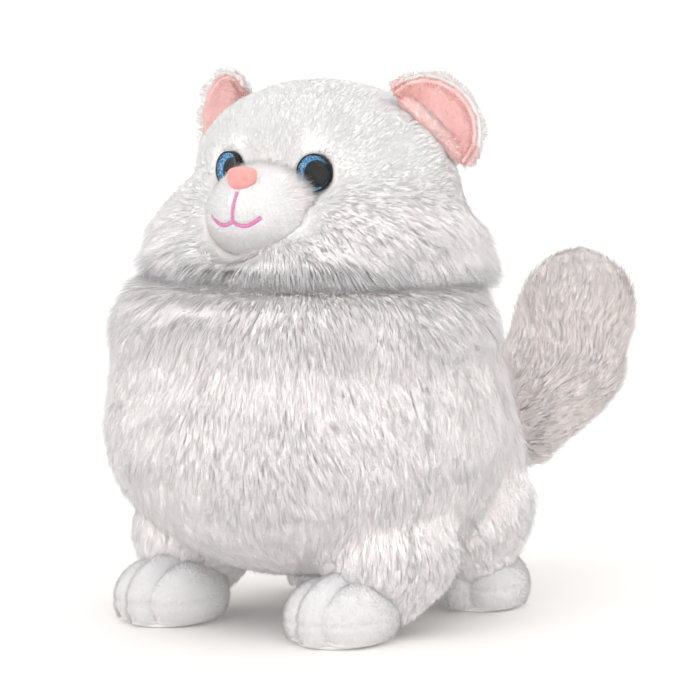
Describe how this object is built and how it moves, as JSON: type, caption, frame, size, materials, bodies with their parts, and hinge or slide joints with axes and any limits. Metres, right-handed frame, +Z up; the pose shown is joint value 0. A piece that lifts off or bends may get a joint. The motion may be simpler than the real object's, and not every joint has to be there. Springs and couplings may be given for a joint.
{
  "type": "plush cat",
  "caption": "Round long-pile plush cat standing on short paws, with a soft nodding and turning head, folding pink-lined ears, a short-pile muzzle and a thick curved tail.",
  "frame": {"origin": "on the floor, at the centre of the whole cat's footprint box, chest to tail tip", "axes": "+X towards the cat's left, +Y from the face to the tail, +Z up from the soles"},
  "size_m": [0.2182, 0.3377, 0.294],
  "materials": {
    "long_pile_white": "long white faux fur, soft",
    "short_pile_white": "short white velboa plush",
    "ear_lining_pink": "short pink plush",
    "stuffing": "polyester fibre filling",
    "white_thread": "matte sewing thread",
    "mouth_thread": "satin embroidery thread",
    "nose_pink": "soft salmon flocked nose",
    "washer_plastic": "moulded lock washer",
    "eye_black": "glossy black",
    "eye_glitter": "blue glitter film",
    "eye_clear": "clear moulded dome"
  },
  "bodies": {
    "torso": {"torso_front_cover": "long_pile_white", "torso_back_cover": "long_pile_white", "belly_cover": "long_pile_white", "torso_stuffing": "stuffing", "closing_stitches": "white_thread", "foreleg_left_cover": "long_pile_white", "foreleg_right_cover": "long_pile_white", "thigh_left_cover": "long_pile_white", "thigh_right_cover": "long_pile_white", "foreleg_left_stuffing": "stuffing", "foreleg_right_stuffing": "stuffing", "thigh_left_stuffing": "stuffing", "thigh_right_stuffing": "stuffing", "forepaw_left_cover": "short_pile_white", "forepaw_right_cover": "short_pile_white", "hindpaw_left_cover": "short_pile_white", "hindpaw_right_cover": "short_pile_white", "forepaw_left_sole": "short_pile_white", "forepaw_right_sole": "short_pile_white", "hindpaw_left_sole": "short_pile_white", "hindpaw_right_sole": "short_pile_white", "toe_stitches": "white_thread"},
    "neck": {"neck_stuffing": "stuffing", "neck_stitches": "white_thread"},
    "head": {"head_front_cover": "long_pile_white", "head_back_cover": "long_pile_white", "head_stuffing": "stuffing", "muzzle_cover": "short_pile_white", "nose_cap": "nose_pink", "nose_washer": "washer_plastic", "mouth_stitches": "mouth_thread", "eye_left_base": "eye_black", "eye_left_glitter": "eye_glitter", "eye_left_pupil": "eye_black", "eye_left_lens": "eye_clear", "eye_left_washer": "washer_plastic", "eye_right_base": "eye_black", "eye_right_glitter": "eye_glitter", "eye_right_pupil": "eye_black", "eye_right_lens": "eye_clear", "eye_right_washer": "washer_plastic"},
    "ear_left": {"ear_left_outer": "long_pile_white", "ear_left_lining": "ear_lining_pink"},
    "ear_right": {"ear_right_outer": "long_pile_white", "ear_right_lining": "ear_lining_pink"},
    "tail_root": {"tail_root_stuffing": "stuffing"},
    "tail": {"tail_upper_cover": "long_pile_white", "tail_lower_cover": "long_pile_white", "tail_stuffing": "stuffing"}
  },
  "joints": [
    {"name": "head_turn", "type": "hinge", "parent": "torso", "child": "neck", "pos_m": [0, -0.0555, 0.183], "axis": [0, 0, 1], "range_deg": [-15, 15], "stiffness_Nm_per_rad": 0.6},
    {"name": "head_nod", "type": "hinge", "parent": "neck", "child": "head", "pos_m": [0, -0.0555, 0.183], "axis": [1, 0, 0], "range_deg": [-5, 5], "stiffness_Nm_per_rad": 1.2},
    {"name": "ear_left_fold", "type": "hinge", "parent": "head", "child": "ear_left", "pos_m": [0.06537, -0.0415, 0.26318], "axis": [0.6409, 0.2988, -0.7071], "range_deg": [-14, 20], "stiffness_Nm_per_rad": 0.02},
    {"name": "ear_right_fold", "type": "hinge", "parent": "head", "child": "ear_right", "pos_m": [-0.06537, -0.0415, 0.26318], "axis": [0.6409, -0.2988, 0.7071], "range_deg": [-14, 20], "stiffness_Nm_per_rad": 0.02},
    {"name": "tail_swing", "type": "hinge", "parent": "torso", "child": "tail_root", "pos_m": [0.008, 0.0705, 0.088], "axis": [0, 0, 1], "range_deg": [-15, 15], "stiffness_Nm_per_rad": 0.6},
    {"name": "tail_lift", "type": "hinge", "parent": "tail_root", "child": "tail", "pos_m": [0.008, 0.0705, 0.088], "axis": [1, 0, 0], "range_deg": [-10, 12], "stiffness_Nm_per_rad": 1.2}
  ]
}
